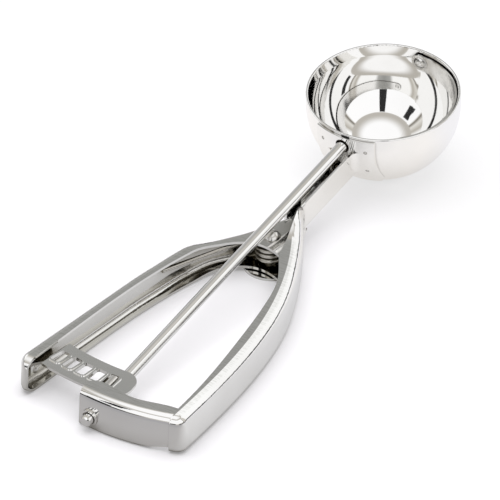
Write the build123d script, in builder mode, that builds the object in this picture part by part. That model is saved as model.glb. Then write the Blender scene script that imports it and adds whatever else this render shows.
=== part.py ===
"""Lever ice cream scoop: bowl, stamped frame, squeeze lever, rack drive and wiper.

Frame of reference: millimetres, the hinge axis is Z through the origin, the table is
z = 0, the bowl lies toward +X and the squeeze lever toward +Y.
"""
import os
from math import acos, asin, atan2, cos, degrees, radians, sin, tan

from build123d import *

os.makedirs("parts", exist_ok=True)

# ---------------------------------------------------------------- driving dimensions
sheet = 1.0                  # gauge of every stamped part
channel_height = 15.0        # height of the handle channels
corner_radius = 3.2          # outside bend radius of the channels
running_clearance = 0.05     # radial, every turning fit
handle_length = 122.2        # hinge axis to the outermost point of the end bracket

bowl_radius = 28.6           # outside of the bowl
bowl_band = 4.8              # straight wall above the half sphere
rim_round = 0.4

shaft_tilt = 6.64            # the shaft rises toward the bowl, degrees
shaft_low = 6.9              # its axis above the table, at the pinion
shaft_dia = 4.3
shaft_stub = 3.3             # free end beyond the end bracket
shaft_chamfer = 0.5
shaft_hole_dia = 5.6         # clearance hole in the saddle
tenon_dia = 3.0              # reduced shaft end that carries the wiper
peen_dia = 4.4
peen_height = 0.7

rivet_dia = 4.0              # hinge rivet
rivet_head_dia = 6.8
rivet_head_height = 2.2
rivet_foot_dia = 6.4
washer_dia = 9.0
washer_height = 0.5
head_play = 0.05             # rivet head above the lever
sleeve_dia = 6.4
wire_dia = 1.8
coil_radius = 4.9            # to the wire centre
coil_turns = 3               # and a part turn that carries it round to the second leg
coil_pitch = 2.1
coil_start = 3.6             # height of the first turn
fixed_leg_aim = (0.327, -27.6)       # share of the handle's length and mm across: each
moving_leg_aim = (0.311, 23.6)       # leg ends on the web, at the point nearest to this

lever_low = 0.3              # the lever floats this far above the table
tip_radius = 6.0             # curl of its free end
tip_turn = 85.0              # degrees
tip_round = 6.0
lever_step_start = -27.0     # where the channel steps down to the hub cheeks
lever_step_end = -13.0
cheek_low = 1.5              # underside of the lever's lower hub cheek
cheek_high = 13.0            # top of its upper hub cheek
cheek_end = 13.5             # reach of the upper cheek toward the bowl
lower_cheek_end = 8.0

neck_width = 9.0
neck_floor = 14.5            # neck underside, below the shaft axis
neck_top = 1.7               # near wall's top, below the shaft axis
neck_far_top = 3.6           # far wall's top, below the shaft axis
neck_start = 17.0
neck_lead = 3.0              # the near wall starts this much sooner
neck_flare = 3.0             # fillet between the neck and the saddle
rise_start = -14.0           # where the arm's top starts to rise to the neck
rise_end = 12.0
rise_crown = (2.0, 16.3)     # a point of that rise
saddle_width = 24.0
saddle_top = 3.8             # above the shaft axis
saddle_drop = 19.2
saddle_corner = 2.6
weld_dia = 1.4
weld_depth = 0.25

bracket_bow = 80.0           # plan radius of the end bracket's face
bracket_crest = -6.0         # y of its outermost point
bracket_end = 4.8            # its free end
bracket_foot = 5.5           # width of its lower flange
bracket_low_bend = 1.2       # outside bend radius of that flange
bracket_lift_y = -18.0       # from here its lower edge rises to the tongue
seam_y = -30.4               # where bracket and arm flanges meet
lip_length = 5.3             # arm's folded end, from the seam to the fold
fold_radius = 4.0
tongue_low = 2.4             # its lower edge at the seam
tongue_length = 2.3
collar_dia = 6.4             # bearing lip round the shaft's hole
collar_height = 0.8
collar_mouth = 0.3           # radial, shallow recess in the lip

rack_setback = 13.6          # window circle, inside of the end bracket's outermost point
window_pitch = 5.64
window_count = 5
window_length = 6.8
window_width = 3.95
window_corner = 0.9
lip_width = 0.6
lip_height = 0.35
rack_margin_in = 8.0         # plate inside of the window circle
rack_margin_out = 7.5        # and outside of it
rack_rise = 4.9              # underside of the rack plate, above the shaft axis
rack_end = -4.6              # degrees, free end past the shaft
tab_reach = 6.73             # bend line to the lever's web
tab_width = 13.0
tab_rise = 4.7               # upright part of the tab
rack_rivet_dia = 2.4
rack_rivet_head = 3.6
rack_head_height = 1.0
rack_tail_height = 0.8
rack_rivet_lift = 1.9        # above the tab's lower edge
rack_rivet_pitch = 7.0

tooth_count = 6
tooth_width = 2.7
tooth_root = 4.5
tooth_tip = 6.5
tooth_length = 5.6
tooth_tip_round = 0.9
pinion_setback = 0.4         # pinion, inside of the window circle
boss_dia = 8.6
pin_dia = 1.5
thrust_washer_height = 0.6

blade_gap = 0.3              # wiper to bowl wall
blade_sheet = 0.8
blade_width = 9.0
blade_straight = 38.0        # full-width length of the wiper
blade_rest = 2.0             # degrees below level at rest
ear_radius = 3.3
ear_setback = 1.4            # inner face of the flat ears, inside of the bowl's wall
pivot_dia = 3.0
pivot_head_dia = 5.6
pivot_head_height = 1.3
pivot_shoulder_dia = 4.4
shoulder_relief = 0.09       # the shoulder's rim clears the curved wall
pivot_tail_dia = 4.6
pivot_tail_height = 0.9

# ------------------------------------------------------------------- derived values
tilt = radians(shaft_tilt)
rack_radius = handle_length - rack_setback
rack_inner = rack_radius - rack_margin_in
rack_outer = rack_radius + rack_margin_out
pinion_x = pinion_setback - rack_radius
bowl_x = pinion_x + (bowl_radius - shaft_low) / tan(tilt)
bowl_inner = bowl_radius - sheet
bowl_centre = Vector(bowl_x, 0, bowl_radius)
along = Vector(cos(tilt), 0, sin(tilt))
upward = Vector(-sin(tilt), 0, cos(tilt))
side_plane = Plane(origin=bowl_centre, x_dir=along, z_dir=(0, -1, 0))
shaft_axis = Axis(bowl_centre, along)
bowl_axis = Axis(bowl_centre, upward)
inner_corner = corner_radius - sheet
cut_size = 2 * handle_length                  # larger than the scoop's width and height
past_end = -handle_length - 20                # beyond the end bracket
past_neck = neck_start + 13                   # within the neck, past the shoulder
past_side = bowl_radius + 10                  # beyond either arm


def shaft_height(x):
    """Height of the shaft axis above the table."""
    return shaft_low + (x - pinion_x) * tan(tilt)


def station(x):
    """Distance along the shaft from the bowl centre, negative toward the handle."""
    return (x - bowl_x) / cos(tilt)


def cross_plane(distance):
    """Plane square to the shaft: local x is +Y, local y is up."""
    origin = bowl_centre + along * distance
    return Plane(origin=origin, x_dir=(0, 1, 0), z_dir=along)


def shaft_disc(diameter, start, end, mode=Mode.ADD):
    """Round bar on the shaft axis between two stations."""
    with BuildSketch(cross_plane(start)) as section:
        Circle(diameter / 2)
    extrude(section.sketch, amount=end - start, mode=mode)


def upright(diameter, low, high, mode=Mode.ADD):
    """Round bar on the hinge axis."""
    with BuildSketch(Plane.XY.offset(low)) as section:
        Circle(diameter / 2)
    extrude(section.sketch, amount=high - low, mode=mode)


def dome(rim, crown):
    """Half outline of a ball-headed end from its rim to its crown, or a flat end."""
    base, half = rim
    height = crown - base
    if height == 0:
        Line(rim, (base, 0))
    else:
        radius = (half ** 2 + height ** 2) / (2 * height)
        centre = crown - radius
        lean = asin(half / abs(radius)) / 2
        ThreePointArc(rim, (centre + radius * cos(lean), abs(radius) * sin(lean)), (crown, 0))


def turned(plane, steps, low_crown, high_crown):
    """Solid turned about a plane's x axis from (distance, radius) steps, with domed ends."""
    with BuildSketch(plane) as section:
        with BuildLine():
            dome(steps[0], low_crown)
            Polyline(*steps)
            dome(steps[-1], high_crown)
            Line((low_crown, 0), (high_crown, 0))
        make_face()
    revolve(section.sketch, axis=Axis(plane.origin, plane.x_dir))


def follows(edge, outline):
    """True for a rim edge of a block that runs along the plan outline."""
    middle = edge.position_at(0.5)
    level = edge.tangent_at(0.5).Z
    on_line = Vertex(middle.X, middle.Y, 0).distance_to(outline) < 0.01
    return on_line and abs(level) < 0.9


def rims(block, outline):
    """Rim edges of a block along a plan outline, from the lowest to the highest."""
    found = [edge for edge in block.edges() if follows(edge, outline)]
    return sorted(found, key=lambda edge: edge.center().Z)


def handle_point(share, side):
    """Plan point at a share of the handle's length from the hinge to its end."""
    return (-share * handle_length, side)


def bow_point(y, inset=0.0):
    """Plan point of the end bracket's bowed face, or of a line inset from it."""
    reach = (bracket_bow - inset) ** 2 - (y - bracket_crest) ** 2
    return Vector(bow_centre.X - reach ** 0.5, y)


bow_centre = Vector(bracket_bow - handle_length, bracket_crest)
seam = bow_point(seam_y)
lip_inward = (bow_centre - seam).normalized()
lip_along = Vector(lip_inward.Y, -lip_inward.X)
lip_tip = seam - lip_inward * sheet


# ----------------------------------------------------------------------------- bowl
def bowl_profile(radius, top):
    """Half section of a round-bottomed cup of a given radius."""
    with BuildSketch(side_plane) as profile:
        with BuildLine():
            Polyline((0, -radius), (0, top), (radius, top), (radius, 0))
            RadiusArc((radius, 0), (0, -radius), radius)
        make_face()
    return profile.sketch


with BuildPart() as bowl_envelope:
    revolve(bowl_profile(bowl_radius, bowl_band + sheet), axis=bowl_axis)

with BuildPart() as bowl:
    revolve(bowl_profile(bowl_radius, bowl_band), axis=bowl_axis)
    revolve(bowl_profile(bowl_inner, bowl_band + sheet), axis=bowl_axis, mode=Mode.SUBTRACT)
    fillet(bowl.edges().sort_by(bowl_axis)[-2:], rim_round)
    bore = shaft_dia + 2 * running_clearance
    shaft_disc(bore, -bowl_radius - sheet, -bowl_inner + sheet, Mode.SUBTRACT)
    shaft_disc(pivot_dia, bowl_inner - sheet, bowl_radius + sheet, Mode.SUBTRACT)
bowl.part.label = "bowl"

# ---------------------------------------------------------------------------- frame
neck_half = neck_width / 2
neck_inner = neck_half - sheet
hub_floor_radius = 10.0
ramp_start = 8.0
ramp_top = shaft_height(neck_start) - neck_floor

lip_start = lip_tip - lip_along * 3           # the block runs past the seam, then is cut
fold = lip_tip + lip_along * lip_length
arm_points = [handle_point(0.876, -35.6), handle_point(0.737, -35.2),
              handle_point(0.573, -33.9), handle_point(0.409, -31.2),
              handle_point(0.262, -26.9), handle_point(0.131, -20.9), (0, -13.3),
              (8, -8.7), (12.5, -5.9), (neck_start, -neck_half)]
arm_edge = [handle_point(0.917, -29.8), handle_point(0.753, -28.8),
            handle_point(0.540, -25.8), handle_point(0.327, -21.7),
            handle_point(0.180, -16.1)]
shoulder_edge = [(-11.5, -10.0), (-5, -8.2), (3.5, -5.9), (rise_end, -neck_inner)]
flange_x = arm_edge[0][0]


def arm_outline():
    """Outer plan line of the fixed arm, from beyond the lap to the neck."""
    FilletPolyline(lip_start, fold, arm_points[0], radius=fold_radius)
    Spline(*arm_points, tangents=[(1, 0.01), (1, 0)])


def inner_line(outline):
    """Plan line of a web's inner face."""
    wire = outline.wires()[0].offset_2d(sheet, side=Side.LEFT, closed=False)
    return wire.to_splines()


def frame_plan():
    """Plan region of the arm, shoulder and hub floor, open toward +Y."""
    with BuildSketch() as plan:
        with BuildLine():
            arm_outline()
            Polyline(arm_points[-1], (neck_start, 0), (hub_floor_radius, 0))
            CenterArc((0, 0), hub_floor_radius, 0, 230)
            hub_end = Vector(hub_floor_radius, 0).rotate(Axis.Z, 230)
            Spline(hub_end, shoulder_edge[0], *reversed(arm_edge))
            Polyline(arm_edge[0], (flange_x, lip_start.Y), lip_start)
        make_face()
    return plan.sketch


def frame_hollow_plan(inside):
    """Plan region inside the arm's web, running out of every open side."""
    lip_end, neck_end = sorted((inside @ 0, inside @ 1), key=lambda point: point.X)
    with BuildSketch() as plan:
        with BuildLine():
            add(inside)
            Polyline(neck_end, (past_neck, -neck_inner), (past_neck, past_side),
                     (past_end, past_side), lip_end)
        make_face()
    return plan.sketch


def handle_profile(inset):
    """Side view of the handle block, inset by the sheet for the hollow inside it."""
    wall_x = neck_start + 5
    top = channel_height - inset
    rise_top = (rise_end, shaft_height(rise_end) - neck_top - inset)
    wall_top = (wall_x, shaft_height(wall_x) - neck_top - inset)
    crown = (rise_crown[0], rise_crown[1] - inset)
    with BuildSketch(Plane.XZ) as profile:
        with BuildLine():
            Polyline((rise_start, top), (past_end, top), (past_end, inset), (wall_x, inset),
                     wall_top, rise_top)
            Spline(rise_top, crown, (rise_start, top),
                   tangents=[(-cos(tilt), -sin(tilt)), (-1, 0)])
        make_face()
    return profile.sketch


def neck_section(inset, near_top, far_top):
    """Section of the neck trough, square to the shaft."""
    half = neck_half - inset
    low = inset - neck_floor
    with BuildSketch(cross_plane(station(neck_start - neck_lead))) as section:
        with BuildLine():
            FilletPolyline((half, far_top), (half, low), (-half, low), (-half, near_top),
                           radius=corner_radius - inset)
            Line((-half, near_top), (half, far_top))
        make_face()
    return section.sketch


def meets_saddle(edge):
    """True for an edge where the outside of a neck wall runs into the saddle."""
    spot = edge.position_at(0.5) - bowl_centre
    return abs(spot.length - bowl_radius - sheet) < 0.01 and abs(abs(spot.Y) - neck_half) < 0.01


def ramp_plan():
    """Plan of the floor strip that climbs from the hub to the neck."""
    with BuildSketch() as strip:
        with BuildLine():
            arm_outline()
            Polyline(arm_points[-1], (neck_start + 2, -neck_half), (neck_start + 2, neck_half),
                     (ramp_start, 6), (ramp_start, 0), (past_end, 0), lip_start)
        make_face()
    return strip.sketch


with BuildLine() as frame_outline:
    arm_outline()
frame_web = inner_line(frame_outline)

with BuildPart() as frame_hollow:
    extrude(handle_profile(sheet), amount=cut_size, both=True)
    extrude(frame_hollow_plan(frame_web), amount=cut_size, mode=Mode.INTERSECT)
    fillet(rims(frame_hollow, frame_web), inner_corner)

with BuildPart() as saddle:
    revolve(bowl_profile(bowl_radius + sheet, bowl_band), axis=bowl_axis)
    with BuildSketch(cross_plane(-bowl_radius - 5)):
        with Locations((0, (saddle_top - saddle_drop) / 2)):
            RectangleRounded(saddle_width, saddle_top + saddle_drop, saddle_corner)
        with Locations((0, saddle_top / 2)):
            Rectangle(saddle_width, saddle_top)
    extrude(amount=bowl_radius - 10, mode=Mode.INTERSECT)

neck_length = bowl_x - neck_start + neck_lead - bowl_radius + 12

with BuildPart() as neck_hollow:
    extrude(neck_section(sheet, sheet, sheet), amount=neck_length)
    revolve(bowl_profile(bowl_radius + sheet, bowl_band), axis=bowl_axis, mode=Mode.SUBTRACT)

with BuildPart() as neck:
    extrude(neck_section(0, -neck_top, -neck_far_top), amount=neck_length)
    add(saddle.part)
    fillet([edge for edge in neck.edges() if meets_saddle(edge)], neck_flare)
    add(neck_hollow.part, mode=Mode.SUBTRACT)
    add(bowl_envelope.part, mode=Mode.SUBTRACT)
    with BuildSketch():
        with Locations((neck_start - 0.5, -neck_inner)):
            Rectangle(20, neck_width, align=(Align.MAX, Align.MIN))
    extrude(amount=cut_size, mode=Mode.SUBTRACT)

with BuildPart() as ramp:
    with BuildSketch(Plane.XZ):
        Polygon((ramp_start, 0), (neck_start + 1, ramp_top), (neck_start + 1, ramp_top + sheet),
                (ramp_start, sheet), align=None)
    extrude(amount=cut_size, both=True)
    extrude(ramp_plan(), amount=cut_size, mode=Mode.INTERSECT)

with BuildPart() as frame:
    extrude(handle_profile(0), amount=cut_size, both=True)
    extrude(frame_plan(), amount=cut_size, mode=Mode.INTERSECT)
    fillet(rims(frame, frame_outline.line), corner_radius)
    with BuildSketch():
        Polygon((flange_x, seam_y), tuple(seam)[:2], tuple(lip_tip)[:2], (past_end, lip_tip.Y),
                (past_end, 0), (flange_x, 0), align=None)
    extrude(amount=cut_size, mode=Mode.SUBTRACT)
    add(frame_hollow.part, mode=Mode.SUBTRACT)
    with BuildSketch(Plane.XY.offset(channel_height / 2)):
        with BuildLine():
            Spline(*arm_edge, *shoulder_edge)
            Polyline(shoulder_edge[-1], (past_neck, -neck_inner), (past_neck, neck_inner),
                     (neck_start, neck_inner), (neck_start, past_side), (past_end, past_side),
                     (past_end, arm_edge[0][1]), arm_edge[0])
        make_face()
    extrude(amount=channel_height, mode=Mode.SUBTRACT)
    with BuildSketch(Plane.XZ):
        Polygon((ramp_start, -1), (neck_start + 5, -1), (neck_start + 5, ramp_top + 3.6),
                (ramp_start, 0), align=None)
    extrude(amount=cut_size, both=True, mode=Mode.SUBTRACT)
    add(ramp.part)
    add(neck.part)
    shaft_disc(shaft_hole_dia, -bowl_radius - 3, -bowl_radius + 3, Mode.SUBTRACT)
    upright(rivet_dia, -1, 5, Mode.SUBTRACT)
    with BuildSketch():
        Circle(rivet_foot_dia / 2)
    with BuildSketch(Plane.XY.offset(sheet)):
        Circle(rivet_dia / 2)
    loft(mode=Mode.SUBTRACT)
    for side in (-1, 1):
        for spot_y, spot_up in ((9.0, -0.7), (8.6, -10.6)):
            reach = (bowl_radius + sheet) ** 2 - spot_y ** 2 - spot_up ** 2
            spot = bowl_centre - along * reach ** 0.5 + upward * spot_up
            with Locations(spot + Vector(0, side * spot_y, 0)):
                Sphere(weld_dia / 2, mode=Mode.SUBTRACT)
frame.part.label = "frame"

# ---------------------------------------------------------------------- end bracket
flange_widths = [(3.6, 7.0), (6.8, 4.8), (8.8, 0.2), (8.2, -4.4), (7.2, -9.3), (7.0, -13.8),
                 (8.9, -22.5), (10.2, seam_y)]
bracket_edge = [(width - handle_length, y) for width, y in flange_widths]
face_station = station(bow_point(0).X)


def bracket_block(inset, overrun):
    """Block behind the bowed face with both bends, or the hollow inside its sheet."""
    start, end = bracket_end + overrun, seam_y - overrun
    with BuildPart() as block:
        with BuildSketch(Plane.XY.offset(inset)):
            with BuildLine():
                face = ThreePointArc(bow_point(start, inset), bow_point(bracket_crest, inset),
                                     bow_point(end, inset))
                Polyline(face @ 0, (past_end / 2, start), (past_end / 2, end), face @ 1)
            make_face()
        extrude(amount=channel_height - 2 * inset)
        fillet(rims(block, face)[1], corner_radius - inset)
        fillet(rims(block, face)[0], bracket_low_bend - inset)
    return block.part


with BuildPart() as end_bracket:
    add(bracket_block(0, 0))
    add(bracket_block(sheet, 2), mode=Mode.SUBTRACT)
    with BuildSketch(Plane.XY.offset(channel_height / 2)):
        with BuildLine():
            Spline(*bracket_edge)
            Polyline(bracket_edge[-1], (past_end / 2, seam_y - 5), (past_end / 2, past_side),
                     bracket_edge[0])
        make_face()
    extrude(amount=channel_height, mode=Mode.SUBTRACT)
    with BuildSketch():
        with Locations(bow_centre):
            Circle(bracket_bow - bracket_foot)
    extrude(amount=channel_height / 2, mode=Mode.SUBTRACT)
    with BuildSketch(Plane.YZ.offset(past_end)):
        Polygon((bracket_lift_y, -1), (bracket_lift_y, 0), (seam_y, tongue_low),
                (seam_y - 10, tongue_low), (seam_y - 10, -1), align=None)
    extrude(amount=cut_size, mode=Mode.SUBTRACT)
    with BuildSketch(Plane.XY.offset(corner_radius)):
        tongue_end = seam + lip_along * tongue_length
        tongue_root = bow_point(seam_y + 0.6)
        Polygon(*[tuple(corner)[:2] for corner in
                  (tongue_root, seam, tongue_end, tongue_end + lip_inward * sheet,
                   seam + lip_inward * sheet, bow_point(seam_y + 0.6, sheet))], align=None)
    extrude(amount=channel_height - 2 * corner_radius)
    nub_hole = shaft_dia + 2 * running_clearance
    mouth = face_station - collar_height
    shaft_disc(collar_dia, mouth, face_station + sheet / 2)
    shaft_disc(nub_hole, mouth - 1, face_station + 4, Mode.SUBTRACT)
    shaft_disc(nub_hole + 2 * collar_mouth, mouth, mouth + collar_height / 2, Mode.SUBTRACT)
end_bracket.part.label = "end_bracket"

# ---------------------------------------------------------------------------- lever
bar_start = Vector(*handle_point(0.915, 33.6))
bar_end = Vector(*handle_point(0.45, 27.17))
bar_along = (bar_end - bar_start).normalized()
bar_outward = Vector(-bar_along.Y, bar_along.X)
tip_x = (bar_start - bar_outward * tip_radius).X - tip_radius - 0.6
web_end = (2.0, 8.0)
lever_bend = [handle_point(0.311, 24.6), handle_point(0.180, 21.2), (-13.5, 17.2), (-6, 12.4),
              web_end]
lever_edge = [handle_point(0.913, 27.9), handle_point(0.679, 25.5), handle_point(0.45, 22.5),
              handle_point(0.221, 17.2), (-16, 13.2), (-10, 8.0), (-7.0, 2.0), (-7.2, -3.5),
              (-9.0, -8.5)]


def lever_outline():
    """Outer plan line of the squeeze lever, from its curled tip to the hub."""
    JernArc(bar_start, -bar_along, tip_radius, tip_turn)
    Line(bar_start, bar_end)
    Spline(bar_end, *lever_bend, tangents=[bar_along, (1, -0.5)])


def lever_plan():
    """Plan region of the lever's two flanges and hub cheeks."""
    with BuildSketch() as plan:
        with BuildLine():
            lever_outline()
            tip = JernArc(bar_start, -bar_along, tip_radius, tip_turn, mode=Mode.PRIVATE) @ 1
            Line(web_end, (11.5, 3.9))
            ThreePointArc((11.5, 3.9), (cheek_end, 0.5), (11.5, -3.2))
            Spline((11.5, -3.2), (5.5, -7.4), (-2, -10.0), lever_edge[-1])
            Spline(*reversed(lever_edge))
            Line(lever_edge[0], tip)
        make_face()
    return plan.sketch


def lever_hollow_plan(inside):
    """Plan region inside the lever's web, running out of every open side."""
    tip_end, hub_end = sorted((inside @ 0, inside @ 1), key=lambda point: point.X)
    with BuildSketch() as plan:
        with BuildLine():
            add(inside)
            Polyline(hub_end, hub_end + Vector(2, 4), (past_neck, web_end[1] + 4),
                     (past_neck, -past_side), (past_end, -past_side), (past_end, tip_end.Y - 3),
                     tip_end + Vector(0.2, -3), tip_end)
        make_face()
    return plan.sketch


def lever_profile(inset):
    """Side view of the lever block, stepped down to the hub cheeks."""
    step, hub = lever_step_start, lever_step_end
    low, high = lever_low + inset, channel_height - inset
    hub_low, hub_high = cheek_low + inset, cheek_high - inset
    with BuildSketch(Plane.XZ) as profile:
        with BuildLine():
            Spline((step, high), (hub, hub_high), tangents=[(1, 0), (1, 0)])
            Polyline((hub, hub_high), (past_neck, hub_high), (past_neck, hub_low), (hub, hub_low))
            Spline((hub, hub_low), (step, low), tangents=[(-1, 0), (-1, 0)])
            Polyline((step, low), (past_end, low), (past_end, high), (step, high))
        make_face()
    return profile.sketch


def tip_profile(inset):
    """Side view of the lever block with the corners of its tip rounded."""
    low, high = lever_low + inset, channel_height - inset
    with BuildSketch(Plane.XZ) as profile:
        with BuildLine():
            FilletPolyline((past_neck, low), (tip_x + inset, low), (tip_x + inset, high),
                           (past_neck, high), radius=tip_round - inset)
            Line((past_neck, high), (past_neck, low))
        make_face()
    return profile.sketch


bend_depth = bar_start.dot(bar_outward) - sheet - tab_reach
bend_run = (((rack_inner + rack_outer) / 2) ** 2 - bend_depth ** 2) ** 0.5
bend_line = Plane(origin=bar_outward * bend_depth - bar_along * bend_run, x_dir=bar_outward,
                  z_dir=bar_along)
tab_mid = tab_reach - sheet / 2
tab_low = lever_low + corner_radius
rack_low = shaft_low + rack_rise
plate_mid = rack_low + sheet / 2
plate_face = rack_low + sheet


def rack_rivet_spots():
    """Where the two rack rivets cross the bend line's upright plane."""
    middle = bend_line.origin + Vector(0, 0, tab_low + rack_rivet_lift)
    return [middle + bar_along * (side * rack_rivet_pitch / 2) for side in (-1, 1)]


def rack_rivet_holes():
    """Two holes through the tab and the lever's web."""
    for spot in rack_rivet_spots():
        with BuildSketch(Plane(origin=spot, z_dir=bend_line.x_dir)) as hole:
            Circle(rack_rivet_dia / 2)
        extrude(hole.sketch, amount=tab_reach + 2 * sheet, mode=Mode.SUBTRACT)


with BuildLine() as lever_line:
    lever_outline()
lever_web = inner_line(lever_line)

with BuildPart() as lever_hollow:
    extrude(lever_profile(sheet), amount=cut_size, both=True)
    extrude(lever_hollow_plan(lever_web), amount=cut_size, mode=Mode.INTERSECT)
    fillet(rims(lever_hollow, lever_web), inner_corner)
    extrude(tip_profile(sheet), amount=cut_size, both=True, mode=Mode.INTERSECT)

with BuildPart() as lever_arm:
    extrude(lever_profile(0), amount=cut_size, both=True)
    extrude(lever_plan(), amount=cut_size, mode=Mode.INTERSECT)
    fillet(rims(lever_arm, lever_line.line), corner_radius)
    extrude(tip_profile(0), amount=cut_size, both=True, mode=Mode.INTERSECT)
    add(lever_hollow.part, mode=Mode.SUBTRACT)
    with BuildSketch():
        with Locations((lower_cheek_end, 0)):
            Rectangle(cut_size, cut_size, align=(Align.MIN, Align.CENTER))
    extrude(amount=channel_height / 2, mode=Mode.SUBTRACT)
    upright(rivet_dia + 2 * running_clearance, 0, channel_height, Mode.SUBTRACT)
    rack_rivet_holes()
lever_arm.part.label = "lever_arm"

# ----------------------------------------------------------------------- rack plate
def rack_windows(low, grow=0.0):
    """Row of rounded windows on the rack circle, the first one over the shaft."""
    with BuildSketch(Plane.XY.offset(low)) as row:
        for count in range(window_count):
            turn = 180 - count * degrees(window_pitch / rack_radius)
            spot = Vector(rack_radius, 0).rotate(Axis.Z, turn)
            with Locations(Location(spot, (0, 0, turn))):
                RectangleRounded(window_length + grow, window_width + grow,
                                 window_corner + grow / 2)
    return row.sketch


with BuildPart() as rack_plate:
    with BuildSketch(Plane.XY.offset(rack_low)):
        Circle(rack_outer)
        Circle(rack_inner, mode=Mode.SUBTRACT)
        far_side = Vector(2 * rack_outer, 0).rotate(Axis.Z, 180 - rack_end)
        bend = bend_line.origin + bar_along * rack_outer / 2
        bend_past = bend_line.origin - bar_along * rack_outer
        Polygon((0, 0), tuple(far_side)[:2], tuple(bend_past)[:2], tuple(bend)[:2],
                align=None, mode=Mode.INTERSECT)
        free_end = vertices().sort_by(Axis.Y)[:2]
        fillet(free_end, 0.42 * (rack_outer - rack_inner))
    extrude(amount=sheet)
    with BuildSketch(bend_line):
        with BuildLine():
            FilletPolyline((-3, plate_mid), (0, plate_mid), (tab_mid, tab_low + tab_rise),
                           (tab_mid, tab_low), radius=1.6)
        trace(line_width=sheet)
    extrude(amount=tab_width / 2, both=True)
    extrude(rack_windows(plate_face, 2 * lip_width), amount=lip_height)
    extrude(rack_windows(rack_low), amount=sheet + lip_height, mode=Mode.SUBTRACT)
    rack_rivet_holes()
rack_plate.part.label = "rack_plate"

with BuildPart() as rack_rivets:
    web_outer = tab_reach + sheet
    tab_inner = tab_reach - sheet
    head_half, shank_half = rack_rivet_head / 2, rack_rivet_dia / 2
    for spot in rack_rivet_spots():
        turned(Plane(origin=spot, x_dir=bend_line.x_dir, z_dir=bar_along),
               [(tab_inner, head_half), (tab_inner, shank_half),
                (web_outer, shank_half), (web_outer, head_half)],
               tab_inner - rack_tail_height, web_outer + rack_head_height)
rack_rivets.part.label = "rack_rivets"

# ------------------------------------------------------------- drive shaft and pinion
shaft_start = station(-handle_length - shaft_stub)
ear_inner = bowl_inner - ear_setback
shoulder = -ear_inner - blade_sheet
pinion_start = station(pinion_x) - tooth_length / 2
pinion_end = station(pinion_x) + tooth_length / 2
thrust_face = station(bow_point(boss_dia / 2, sheet).X + boss_dia / 2 * sin(tilt))
boss_end = thrust_face + thrust_washer_height
pin_station = (boss_end + pinion_start) / 2


def cross_pin(length, mode=Mode.ADD):
    """Round pin across the shaft through the pinion boss."""
    with BuildSketch(Plane(origin=bowl_centre + along * pin_station, x_dir=along,
                           z_dir=(0, 1, 0))) as section:
        Circle(pin_dia / 2)
    extrude(section.sketch, amount=length / 2, both=True, mode=mode)


with BuildPart() as drive_shaft:
    shaft_half, tenon_half = shaft_dia / 2, tenon_dia / 2
    turned(side_plane,
           [(shaft_start, shaft_half - shaft_chamfer), (shaft_start + shaft_chamfer, shaft_half),
            (shoulder, shaft_half), (shoulder, tenon_half),
            (-ear_inner, tenon_half), (-ear_inner, peen_dia / 2)],
           shaft_start, -ear_inner + peen_height)
    cross_pin(2 * shaft_dia, Mode.SUBTRACT)
drive_shaft.part.label = "drive_shaft"

with BuildPart() as pinion:
    shaft_disc(2 * tooth_root, pinion_start, pinion_end)
    with BuildSketch(cross_plane(pinion_start)):
        with PolarLocations(0, tooth_count, start_angle=90):
            with Locations((tooth_tip / 2, 0)):
                Rectangle(tooth_tip, tooth_width)
        tips = vertices().filter_by(lambda corner: corner.distance_to(
            bowl_centre + along * pinion_start) > tooth_root + 1)
        fillet(tips, tooth_tip_round)
    extrude(amount=tooth_length)
    shaft_disc(boss_dia, boss_end, pinion_start)
    shaft_disc(shaft_dia, boss_end, pinion_end, Mode.SUBTRACT)
    cross_pin(2 * boss_dia, Mode.SUBTRACT)
pinion.part.label = "pinion"

with BuildPart() as pinion_pin:
    cross_pin(boss_dia - 0.2)
pinion_pin.part.label = "pinion_pin"

with BuildPart() as thrust_washer:
    shaft_disc(boss_dia, thrust_face, boss_end)
    shaft_disc(shaft_dia, thrust_face, boss_end, Mode.SUBTRACT)
thrust_washer.part.label = "thrust_washer"

# ----------------------------------------------------------------------- hinge stack
head_low = cheek_high + head_play

with BuildPart() as hinge_rivet:
    turned(Plane(origin=(0, 0, 0), x_dir=(0, 0, 1), z_dir=(0, -1, 0)),
           [(0, rivet_foot_dia / 2), (sheet, rivet_dia / 2),
            (head_low, rivet_dia / 2), (head_low, rivet_head_dia / 2)],
           0, head_low + rivet_head_height)
hinge_rivet.part.label = "hinge_rivet"

with BuildPart() as hinge_washer:
    upright(washer_dia, sheet, sheet + washer_height)
    upright(rivet_dia, sheet, sheet + washer_height, Mode.SUBTRACT)
hinge_washer.part.label = "hinge_washer"

sleeve_low = cheek_low + sheet + running_clearance
sleeve_high = cheek_high - sheet - running_clearance
with BuildPart() as spring_sleeve:
    upright(sleeve_dia, sleeve_low, sleeve_high)
    upright(rivet_dia, sleeve_low, sleeve_high, Mode.SUBTRACT)
spring_sleeve.part.label = "spring_sleeve"


def leg_end(web, near):
    """Centre of a wire that lies on a web's inner face beside a plan point."""
    foot = web.distance_to_with_closest_points(Vertex(*near))[1]
    share = web.param_at_point(foot)
    inward = web.tangent_at(share).cross(Vector(0, 0, 1))
    if inward.dot(near) > 0:
        inward = -inward
    return foot + inward * (wire_dia / 2)


def tangent_turn(end, side):
    """Angle of the coil point whose tangent runs out to a leg's end."""
    spread = degrees(acos(coil_radius / end.length))
    return degrees(atan2(end.Y, end.X)) + side * spread


fixed_end = leg_end(frame_web, Vector(*handle_point(*fixed_leg_aim)))
moving_end = leg_end(lever_web, Vector(*handle_point(*moving_leg_aim)))
first_turn = tangent_turn(fixed_end, 1)
last_turn = tangent_turn(moving_end, -1)
coil_sweep = coil_turns + ((last_turn - first_turn) % 360) / 360
coil_end = coil_start + coil_sweep * coil_pitch


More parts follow.
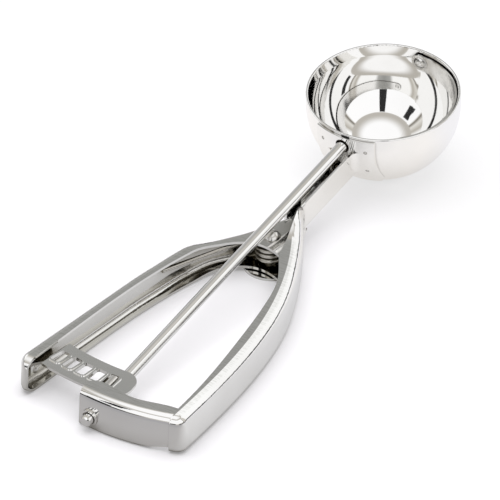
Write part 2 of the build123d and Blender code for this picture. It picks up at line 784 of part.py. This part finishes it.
def wire_points():
    """Centre line of the spring wire: straight leg, coil, straight leg."""
    steps = 12 * coil_turns
    coil = []
    for step in range(steps + 1):
        share = step / steps
        spot = Vector(coil_radius, 0, coil_start + share * (coil_end - coil_start))
        coil.append(spot.rotate(Axis.Z, first_turn + share * coil_sweep * 360))
    fixed_tip = Vector(fixed_end.X, fixed_end.Y, coil_start)
    moving_tip = Vector(moving_end.X, moving_end.Y, coil_end)
    leg_shares = (0, 0.4, 0.7, 0.9)
    fixed_leg = [fixed_tip + (coil[0] - fixed_tip) * share for share in leg_shares]
    moving_leg = [moving_tip + (coil[-1] - moving_tip) * share for share in leg_shares]
    return fixed_leg + coil + moving_leg[::-1]


with BuildPart() as torsion_spring:
    with BuildLine() as wire_line:
        Spline(*wire_points())
    with BuildSketch(Plane(origin=wire_line.line @ 0, z_dir=wire_line.line % 0)):
        Circle(wire_dia / 2)
    sweep(path=wire_line.line)
torsion_spring.part.label = "torsion_spring"

# -------------------------------------------------------------------------- wiper
rest = radians(blade_rest)
blade_side = Vector(0, -cos(rest), 0) - upward * sin(rest)
blade_plane = Plane(origin=bowl_centre, x_dir=along, z_dir=blade_side)
blade_radius = bowl_inner - blade_gap
ear_outer = ear_inner + blade_sheet

with BuildPart() as wiper_blade:
    with Locations(bowl_centre):
        Sphere(blade_radius)
        Sphere(blade_radius - blade_sheet, mode=Mode.SUBTRACT)
    with BuildSketch(blade_plane):
        Rectangle(blade_straight, blade_width)
        with Locations((-ear_inner, 0), (ear_inner, 0)):
            Circle(ear_radius)
        make_hull()
    extrude(amount=bowl_radius, mode=Mode.INTERSECT)
    for ear_start in (-ear_outer, ear_inner):
        shaft_disc(2 * ear_radius - 0.01, ear_start - 0.5, ear_start + 1.4, Mode.SUBTRACT)
        shaft_disc(2 * ear_radius, ear_start, ear_start + blade_sheet)
    shaft_disc(tenon_dia, -ear_outer - 1, -ear_inner + 1, Mode.SUBTRACT)
    shaft_disc(pivot_dia + 2 * running_clearance, ear_inner - 1, ear_outer + 1, Mode.SUBTRACT)
wiper_blade.part.label = "wiper_blade"

with BuildPart() as far_pivot_rivet:
    tail_face = ear_inner - running_clearance
    shoulder_face = ear_outer + running_clearance
    wall_face = bowl_inner - shoulder_relief
    pivot_half, shoulder_half = pivot_dia / 2, pivot_shoulder_dia / 2
    turned(side_plane,
           [(tail_face, pivot_tail_dia / 2), (tail_face, pivot_half),
            (shoulder_face, pivot_half), (shoulder_face, shoulder_half),
            (wall_face, shoulder_half), (wall_face, pivot_half),
            (bowl_radius, pivot_half), (bowl_radius, pivot_head_dia / 2)],
           tail_face - pivot_tail_height, bowl_radius + pivot_head_height)
far_pivot_rivet.part.label = "far_pivot_rivet"

for piece in (bowl, frame, end_bracket, lever_arm, rack_plate, rack_rivets, drive_shaft, pinion,
              pinion_pin, thrust_washer, hinge_rivet, hinge_washer, spring_sleeve, torsion_spring,
              wiper_blade, far_pivot_rivet):
    export_step(piece.part, "parts/" + piece.part.label + ".step")
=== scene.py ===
"""Looks of the lever ice cream scoop: polished steel, white sweep, soft studio light.

The CAD nodes keep their meshes and get procedural steel. Only the spring is replaced, by a
plain copy of itself. Lengths are metres and tones are linear.
"""
import math
from collections import namedtuple
from dataclasses import dataclass

import bpy
from mathutils import Matrix, Vector


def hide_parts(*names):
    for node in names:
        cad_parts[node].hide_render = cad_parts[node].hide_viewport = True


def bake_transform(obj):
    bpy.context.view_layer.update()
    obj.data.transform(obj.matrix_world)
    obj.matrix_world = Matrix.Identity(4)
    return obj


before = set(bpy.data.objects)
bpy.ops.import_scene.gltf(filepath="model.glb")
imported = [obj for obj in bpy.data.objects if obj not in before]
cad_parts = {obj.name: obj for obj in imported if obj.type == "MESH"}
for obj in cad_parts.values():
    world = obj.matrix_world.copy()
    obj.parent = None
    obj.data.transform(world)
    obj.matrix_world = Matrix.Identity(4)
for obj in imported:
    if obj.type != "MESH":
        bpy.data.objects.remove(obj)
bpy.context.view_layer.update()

# ------------------------------------------------------------------------- camera
AZIMUTH = math.radians(-150.02)      # compass side the camera stands on
ELEVATION = math.radians(34.41)
ROLL = math.radians(2.47)
DISTANCE = 2.5968
LENS = 514.8                         # millimetres, as the sensor
SENSOR = 36.0
CLIP_END = 50
TARGET = Vector((0.00436, 0.01123, 0.0))

# --------------------------------------------------------------------------- lamp
KEY_SPOT = (0.0, 0.15, 1.6)
KEY_SIZE = 2.0
KEY_POWER = 30
AMBIENT = 0.45

# -------------------------------------------------------------------------- floor
FLOOR_REACH = 6.0
FLOOR_WHITE = (0.935, 0.92, 0.95)
FLOOR_ROUGH = 0.9
GLOW = (0.22, 0.68)                  # share that no shadow takes: at the handle, at the bowl
GLOW_SPAN = (0.02, 0.07)             # x between the two
MIRRORED_SHARE = 0.65                # share of painted reflection glow that the floor shows metal
MIRRORED_SPAN = (-0.15, 0.11)        # x from the handle's end to the bowl
# Painted reflection: tones the floor glows with for glossy rays, dark at the handle's end,
# pale towards the bowl.
PAINTED_REFLECTION_TONES = [(0.0, 0.02), (0.10, (0.14, 0.13, 0.11)), (0.17, (0.54, 0.54, 0.53)),
                  (0.60, (0.60, 0.60, 0.61)), (0.73, (0.84, 0.82, 0.79)),
                  (0.85, (0.90, 0.87, 0.83)), (1.0, (0.86, 0.86, 0.89))]

# ------------------------------------------------------------------ studio for metal
# Spans are degrees round from the camera's side, or degrees up. The room's own tones
# follow the share of the half turn from the camera's side to the far side.
ROOM = [(0.0, (0.62, 0.60, 0.56)), (0.41, (0.62, 0.60, 0.56)), (0.43, (0.20, 0.18, 0.15)),
        (0.46, (0.80, 0.78, 0.74)), (0.52, (0.50, 0.47, 0.42)), (0.57, (1.05, 1.05, 1.05)),
        (0.85, (1.05, 1.05, 1.05)), (0.90, (0.44, 0.44, 0.43)), (1.0, (0.34, 0.34, 0.33))]
SOFTBOX = (1.05, 1.05, 1.06)
FRONT_TURN = (0, 72)
FRONT_TURN_SOFT = 4
FRONT_RISE = (11, 49)
FRONT_RISE_SOFT = 1.5
CEILING = (0.53, 0.505, 0.465)
CEILING_RISE = (50, 95)
CEILING_SOFT = 1.5
TOP_RISE = (67, 95)                  # softbox overhead
TOP_SOFT = 14
SKIRTING = (0.05, 0.05, 0.045)       # dark foot of the room, just over the floor
SKIRTING_TURN = (40, 185)
SKIRTING_TURN_SOFT = 8
SKIRTING_RISE = (-5, 5)
SKIRTING_RISE_SOFT = 2.5
GAP = (0.03, 0.03, 0.03)
GAP_TURN_SOFT = 0.8
GAP_RISE_SOFT = 1.0
GAPS = [((-5.5, 5.5), (11, 48)),     # turn and rise: it parts the two front softboxes
        ((-62, -50), (27, 46)),      # across one of them
        ((-10, 10), (2, 9)),         # under them
        ((-66, -53), (3, 17)),       # low at one side, where the bracket's bend looks
        ((-85, -45), (-3, 9))]

# -------------------------------------------------------------------------- steels
CLOUD_SCALE = 38.0                   # noise scales are cells per metre
CLOUD_SPAN = (0.3, 0.7)
SWELL_SCALE = 70.0
GRAIN_SCALE = 2600.0

MARK = (0.62, 0.62, 0.58)            # short polishing marks across the arms
MARK_STRETCH = (2400, 260, 100)      # cells per metre along each axis
MARK_STOPS = [(0.42, 0.0), (0.70, 0.4)]
LEVEL_STOPS = [(0.97, 0.0), (0.995, 1.0)]        # upward part of the normal

ARM_WIDE = 0.0357                    # the fixed arm's outer line, see arm_roll
ARM_DROP = 0.0223
ARM_LONG = 0.114
ARM_POWER = 2.77
ROLL_START = 0.0049                  # this far in from that line
ROLL_END = -0.0007
ROLL_SLOPE = 0.3

PAINTED_FOLD_SHADE = (0.20, 0.18, 0.135)          # painted shade: dark tone laid on steel deep in a fold
FOLD_SHADE_STOPS = [(0.15, 1.0), (0.70, 0.0)]          # share of open sky to depth of painted shade
# Painted shade: steel darkened where ambient occlusion finds little open sky.
PaintedShade = namedtuple("PaintedShade", "tone reach stops")
# Painted shade: a thin dark line on the bowl where the saddle's edge stands over it.
SEAM_SHADE = PaintedShade((0.13, 0.115, 0.10), 0.003, [(0.35, 1.0), (0.88, 0.0)])
STAMPED_FOLD_SHADE = PaintedShade(PAINTED_FOLD_SHADE, 0.005, FOLD_SHADE_STOPS)
LEVER_FOLD_SHADE = PaintedShade(PAINTED_FOLD_SHADE, 0.024, FOLD_SHADE_STOPS)
SMALL_FOLD_SHADE = PaintedShade(PAINTED_FOLD_SHADE, 0.012, FOLD_SHADE_STOPS)


@dataclass
class Steel:
    """Look of one steel. Clouds go from light and smooth to dark and rough."""
    name: str
    nodes: tuple
    light: tuple
    dark: tuple
    smooth: float
    rough: float
    wave: float                      # height of the stamped swells
    grain: float                     # height of the finest relief
    # painted shade in folds and seams, where a steel has it
    fold_shade: PaintedShade = None
    marked: bool = False
    rolled: bool = False


STEELS = [
    Steel("bowl_steel", ("bowl",), light=(0.95, 0.945, 0.935), dark=(0.91, 0.905, 0.89),
          smooth=0.03, rough=0.06, wave=0.000012, grain=0.0000002, fold_shade=SEAM_SHADE),
    Steel("stamped_steel", ("frame", "end_bracket"), light=(0.93, 0.925, 0.915),
          dark=(0.88, 0.875, 0.86), smooth=0.04, rough=0.08, wave=0.00003,
          grain=0.0000003, fold_shade=STAMPED_FOLD_SHADE, marked=True, rolled=True),
    Steel("lever_steel", ("lever_arm",), light=(0.92, 0.915, 0.90),
          dark=(0.86, 0.855, 0.835), smooth=0.06, rough=0.10, wave=0.00003,
          grain=0.0000003, fold_shade=LEVER_FOLD_SHADE, marked=True),
    Steel("rack_steel", ("rack_plate",), light=(0.92, 0.915, 0.90), dark=(0.84, 0.835, 0.82),
          smooth=0.12, rough=0.18, wave=0.00001, grain=0.0000006),
    Steel("satin_steel", ("rack_rivets", "pinion", "pinion_pin", "thrust_washer",
                          "hinge_rivet", "hinge_washer", "spring_sleeve", "wiper_blade",
                          "far_pivot_rivet"),
          light=(0.90, 0.89, 0.87), dark=(0.80, 0.79, 0.77), smooth=0.14, rough=0.22,
          wave=0.00002, grain=0.000001, fold_shade=SMALL_FOLD_SHADE),
    Steel("rod_steel", ("drive_shaft",), light=(0.93, 0.925, 0.915),
          dark=(0.88, 0.875, 0.865), smooth=0.05, rough=0.09, wave=0.000004,
          grain=0.0000003),
    Steel("spring_steel", ("torsion_spring",), light=(0.66, 0.64, 0.60),
          dark=(0.52, 0.50, 0.46), smooth=0.18, rough=0.28, wave=0.00001,
          grain=0.000001, fold_shade=SMALL_FOLD_SHADE)]


# -------------------------------------------------------------------------- camera
def add_camera():
    """Long lens from the photographed side, rolled a little to the left."""
    back = Vector((math.cos(ELEVATION) * math.cos(AZIMUTH),
                   math.cos(ELEVATION) * math.sin(AZIMUTH), math.sin(ELEVATION)))
    right = Vector((0, 0, 1)).cross(back).normalized()
    up = back.cross(right)
    across = math.cos(ROLL) * right + math.sin(ROLL) * up
    rise = -math.sin(ROLL) * right + math.cos(ROLL) * up
    data = bpy.data.cameras.new("camera")
    data.sensor_fit = "HORIZONTAL"
    data.sensor_width = SENSOR
    data.lens = LENS
    data.clip_end = CLIP_END
    camera = bpy.data.objects.new("camera", data)
    bpy.context.scene.collection.objects.link(camera)
    spot = TARGET + back * DISTANCE
    camera.matrix_world = Matrix((
        (across.x, rise.x, back.x, spot.x),
        (across.y, rise.y, back.y, spot.y),
        (across.z, rise.z, back.z, spot.z),
        (0, 0, 0, 1)))
    bpy.context.scene.camera = camera


# --------------------------------------------------------------------------- nodes
def new_material(name):
    """Empty node material: itself, its node tree and its shader."""
    material = bpy.data.materials.new(name)
    material.use_nodes = True
    tree = material.node_tree
    return material, tree, tree.nodes["Principled BSDF"]


def node(tree, kind, **settings):
    """New shader node with its input values set by name."""
    made = tree.nodes.new(kind)
    for key, value in settings.items():
        made.inputs[key].default_value = value
    return made


def object_place(tree):
    """Place on the object, in its own axes."""
    return tree.nodes.new("ShaderNodeTexCoord").outputs["Object"]


def split(tree, vector):
    """X, Y and Z of a vector."""
    made = tree.nodes.new("ShaderNodeSeparateXYZ")
    tree.links.new(vector, made.inputs[0])
    return made.outputs


def ramp(tree, source, stops):
    """Colour ramp over a factor: stops of (position, grey or colour)."""
    made = tree.nodes.new("ShaderNodeValToRGB")
    elements = made.color_ramp.elements
    while len(elements) < len(stops):
        elements.new(0.5)
    for element, (position, value) in zip(elements, stops):
        element.position = position
        colour = value if isinstance(value, tuple) else (value, value, value)
        element.color = (*colour, 1)
    tree.links.new(source, made.inputs["Fac"])
    return made.outputs["Color"]


def math_node(tree, kind, first, second=None):
    """Math node over sockets or numbers."""
    made = tree.nodes.new("ShaderNodeMath")
    made.operation = kind
    for slot, value in zip(made.inputs, (first, second)):
        if isinstance(value, (int, float)):
            slot.default_value = value
        elif value is not None:
            tree.links.new(value, slot)
    return made.outputs[0]


def map_range(tree, value, source, target=(0.0, 1.0), kind="LINEAR"):
    """Value carried from one range to another, held at its ends."""
    made = tree.nodes.new("ShaderNodeMapRange")
    made.interpolation_type = kind
    for key, number in zip(("From Min", "From Max"), source):
        made.inputs[key].default_value = number
    for key, number in zip(("To Min", "To Max"), target):
        made.inputs[key].default_value = number
    tree.links.new(value, made.inputs["Value"])
    return made.outputs["Result"]


def between(tree, value, span, soft):
    """One where value lies in the span, falling to nought over soft beyond it."""
    low, high = span
    rise = map_range(tree, value, (low - soft, low), kind="SMOOTHSTEP")
    fall = map_range(tree, value, (high, high + soft), (1.0, 0.0), "SMOOTHSTEP")
    return math_node(tree, "MULTIPLY", rise, fall)


def paint(tree, under, mask, colour):
    """Lays a colour over another where the mask is one."""
    mix = tree.nodes.new("ShaderNodeMix")
    mix.data_type = "RGBA"
    tree.links.new(mask, mix.inputs[0])
    tree.links.new(under, mix.inputs[6])
    mix.inputs[7].default_value = (*colour, 1)
    return mix.outputs[2]


def mix_shader(tree, share, under, over):
    """Lays a share of one shader over another."""
    made = tree.nodes.new("ShaderNodeMixShader")
    tree.links.new(share, made.inputs["Fac"])
    tree.links.new(under, made.inputs[1])
    tree.links.new(over, made.inputs[2])
    return made.outputs[0]


def noise(tree, place, scale, detail):
    """Noise over a place."""
    made = node(tree, "ShaderNodeTexNoise", Scale=scale, Detail=detail)
    tree.links.new(place, made.inputs["Vector"])
    return made.outputs["Fac"]


def bump(tree, height, distance, under=None):
    """Normal that follows a height, laid over another normal where one is given."""
    made = node(tree, "ShaderNodeBump", Strength=1.0, Distance=distance)
    tree.links.new(height, made.inputs["Height"])
    if under is not None:
        tree.links.new(under, made.inputs["Normal"])
    return made.outputs["Normal"]


# -------------------------------------------------------------------------- steels
def cross_marks(tree, place):
    """Mask of short polishing marks across the arms, on faces that look up."""
    stretch = tree.nodes.new("ShaderNodeMapping")
    stretch.inputs["Scale"].default_value = MARK_STRETCH
    tree.links.new(place, stretch.inputs["Vector"])
    marks = noise(tree, stretch.outputs[0], 1.0, 2.0)
    normal = tree.nodes.new("ShaderNodeNewGeometry").outputs["Normal"]
    level = ramp(tree, split(tree, normal)["Z"], LEVEL_STOPS)
    return math_node(tree, "MULTIPLY", level, ramp(tree, marks, MARK_STOPS))


def arm_roll(tree, place):
    """Height that falls over the outer part of the fixed arm's flange.

    The arm's outer line follows ARM_WIDE - ARM_DROP * (1 + x / ARM_LONG) ** ARM_POWER.
    """
    axes = split(tree, place)
    share = math_node(tree, "ADD", math_node(tree, "DIVIDE", axes["X"], ARM_LONG), 1.0)
    drop = math_node(tree, "MULTIPLY", math_node(tree, "POWER", share, ARM_POWER), ARM_DROP)
    edge = math_node(tree, "SUBTRACT", ARM_WIDE, drop)
    inset = math_node(tree, "ADD", edge, axes["Y"])
    fall = -ROLL_SLOPE * (ROLL_START - ROLL_END)
    return map_range(tree, inset, (ROLL_START, ROLL_END), (0.0, fall))


def steel_tone(tree, place, cloud, steel):
    """Cloudy tone with painted shade in folds, and marks across the flanges where it is
    marked.
    """
    low, high = CLOUD_SPAN
    tone = ramp(tree, cloud, [(low, steel.dark), (high, steel.light)])
    # painted shade: tone darkened where ambient occlusion finds a fold
    if steel.fold_shade:
        shade = node(tree, "ShaderNodeAmbientOcclusion", Distance=steel.fold_shade.reach)
        depth = ramp(tree, shade.outputs["AO"], steel.fold_shade.stops)
        tone = paint(tree, tone, depth, steel.fold_shade.tone)
    if steel.marked:
        tone = paint(tree, tone, cross_marks(tree, place), MARK)
    return tone


def steel_relief(tree, place, steel):
    """Stamped swells under a fine grain, over the arm's roll where it is rolled."""
    roll = bump(tree, arm_roll(tree, place), 1.0) if steel.rolled else None
    broad = bump(tree, noise(tree, place, SWELL_SCALE, 1.0), steel.wave, roll)
    return bump(tree, noise(tree, place, GRAIN_SCALE, 2.0), steel.grain, broad)


def steel_material(steel):
    """Metal with tone, gloss and relief of a steel."""
    material, tree, shader = new_material(steel.name)
    shader.inputs["Metallic"].default_value = 1.0
    place = object_place(tree)
    cloud = noise(tree, place, CLOUD_SCALE, 3.0)
    low, high = CLOUD_SPAN
    gloss = ramp(tree, cloud, [(low, steel.rough), (high, steel.smooth)])
    tree.links.new(steel_tone(tree, place, cloud, steel), shader.inputs["Base Color"])
    tree.links.new(gloss, shader.inputs["Roughness"])
    tree.links.new(steel_relief(tree, place, steel), shader.inputs["Normal"])
    return material


def dress(steel):
    """Gives a steel to its CAD nodes."""
    material = steel_material(steel)
    for name in steel.nodes:
        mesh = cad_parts[name].data
        mesh.materials.clear()
        mesh.materials.append(material)


def flex_spring():
    """Plain copy of the spring in place of the CAD node, which is hidden."""
    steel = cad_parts["torsion_spring"].data
    piece = bpy.data.objects.new("wound_spring", steel.copy())
    bpy.context.scene.collection.objects.link(piece)
    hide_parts("torsion_spring")
    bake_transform(piece)


# --------------------------------------------------------------------- floor, light
def floor_material():
    """White that keeps a light shadow for the camera and glows painted reflection tones for
    metal.
    """
    material, tree, shader = new_material("floor_white")
    shader.inputs["Base Color"].default_value = (*FLOOR_WHITE, 1)
    shader.inputs["Roughness"].default_value = FLOOR_ROUGH
    shader.inputs["Specular IOR Level"].default_value = 0.0
    path = tree.nodes.new("ShaderNodeLightPath").outputs
    along = split(tree, object_place(tree))["X"]
    # painted reflection: glow tones along x, seen by metal only
    reflection_tones = ramp(tree, map_range(tree, along, MIRRORED_SPAN), PAINTED_REFLECTION_TONES)
    glow = node(tree, "ShaderNodeEmission", Strength=1.0)
    tree.links.new(paint(tree, reflection_tones, path["Is Camera Ray"], (1, 1, 1)), glow.inputs["Color"])
    seen = math_node(tree, "MULTIPLY", map_range(tree, along, GLOW_SPAN, GLOW),
                     path["Is Camera Ray"])
    mirrored = math_node(tree, "MULTIPLY", path["Is Glossy Ray"], MIRRORED_SHARE)
    share = math_node(tree, "ADD", seen, mirrored)
    blend = mix_shader(tree, share, shader.outputs[0], glow.outputs[0])
    tree.links.new(blend, tree.nodes["Material Output"].inputs["Surface"])
    return material


def add_floor():
    """Plain white sheet under the scoop."""
    mesh = bpy.data.meshes.new("floor")
    corners = [(-FLOOR_REACH, -FLOOR_REACH, 0), (FLOOR_REACH, -FLOOR_REACH, 0),
               (FLOOR_REACH, FLOOR_REACH, 0), (-FLOOR_REACH, FLOOR_REACH, 0)]
    mesh.from_pydata(corners, [], [(0, 1, 2, 3)])
    mesh.materials.append(floor_material())
    floor = bpy.data.objects.new("floor", mesh)
    bpy.context.scene.collection.objects.link(floor)


def add_key():
    """Large soft lamp that faces the hinge from above; metal sees the studio instead."""
    data = bpy.data.lights.new("key", "AREA")
    data.shape = "SQUARE"
    data.size = KEY_SIZE
    data.energy = KEY_POWER
    lamp = bpy.data.objects.new("key", data)
    bpy.context.scene.collection.objects.link(lamp)
    lamp.location = KEY_SPOT
    lamp.rotation_euler = (-Vector(KEY_SPOT)).to_track_quat("-Z", "Y").to_euler()
    lamp.visible_glossy = False


def studio_angles(tree):
    """Degrees round from the camera's side and degrees up, of a direction."""
    way = tree.nodes.new("ShaderNodeTexCoord").outputs["Generated"]
    turned = tree.nodes.new("ShaderNodeVectorRotate")
    turned.rotation_type = "Z_AXIS"
    turned.inputs["Angle"].default_value = -AZIMUTH
    tree.links.new(way, turned.inputs["Vector"])
    axes = split(tree, turned.outputs[0])
    turn = math_node(tree, "ARCTAN2", axes["Y"], axes["X"])
    rise = math_node(tree, "ARCSINE", axes["Z"])
    return math_node(tree, "DEGREES", turn), math_node(tree, "DEGREES", rise)


def window(tree, turn, turn_span, turn_soft, rise, rise_span, rise_soft):
    """Mask of a patch of the studio."""
    return math_node(tree, "MULTIPLY", between(tree, turn, turn_span, turn_soft),
                     between(tree, rise, rise_span, rise_soft))


def studio(tree):
    """What metal mirrors: a pale room, softboxes in front and overhead, dark gaps."""
    turn, rise = studio_angles(tree)
    around = math_node(tree, "ABSOLUTE", turn)
    seen = ramp(tree, math_node(tree, "DIVIDE", around, 180.0), ROOM)
    front = window(tree, around, FRONT_TURN, FRONT_TURN_SOFT,
                   rise, FRONT_RISE, FRONT_RISE_SOFT)
    seen = paint(tree, seen, front, SOFTBOX)
    seen = paint(tree, seen, between(tree, rise, CEILING_RISE, CEILING_SOFT), CEILING)
    seen = paint(tree, seen, between(tree, rise, TOP_RISE, TOP_SOFT), SOFTBOX)
    foot = window(tree, around, SKIRTING_TURN, SKIRTING_TURN_SOFT,
                  rise, SKIRTING_RISE, SKIRTING_RISE_SOFT)
    seen = paint(tree, seen, foot, SKIRTING)
    for gap_turn, gap_rise in GAPS:
        gap = window(tree, turn, gap_turn, GAP_TURN_SOFT, rise, gap_rise, GAP_RISE_SOFT)
        seen = paint(tree, seen, gap, GAP)
    return seen


def add_world():
    """White surround for the camera, even light for the floor, a studio for metal."""
    world = bpy.data.worlds.new("studio")
    bpy.context.scene.world = world
    world.use_nodes = True
    tree = world.node_tree
    tree.nodes.clear()
    path = tree.nodes.new("ShaderNodeLightPath").outputs
    ambient = node(tree, "ShaderNodeBackground", Color=(1, 1, 1, 1), Strength=AMBIENT)
    white = node(tree, "ShaderNodeBackground", Color=(1, 1, 1, 1), Strength=1.0)
    mirrored = node(tree, "ShaderNodeBackground", Strength=1.0)
    tree.links.new(studio(tree), mirrored.inputs["Color"])
    lit = mix_shader(tree, path["Is Glossy Ray"], ambient.outputs[0], mirrored.outputs[0])
    seen = mix_shader(tree, path["Is Camera Ray"], lit, white.outputs[0])
    output = tree.nodes.new("ShaderNodeOutputWorld")
    tree.links.new(seen, output.inputs["Surface"])


bpy.context.scene.view_settings.view_transform = "Standard"
add_camera()
for kind in STEELS:
    dress(kind)
flex_spring()
add_floor()
add_world()
add_key()
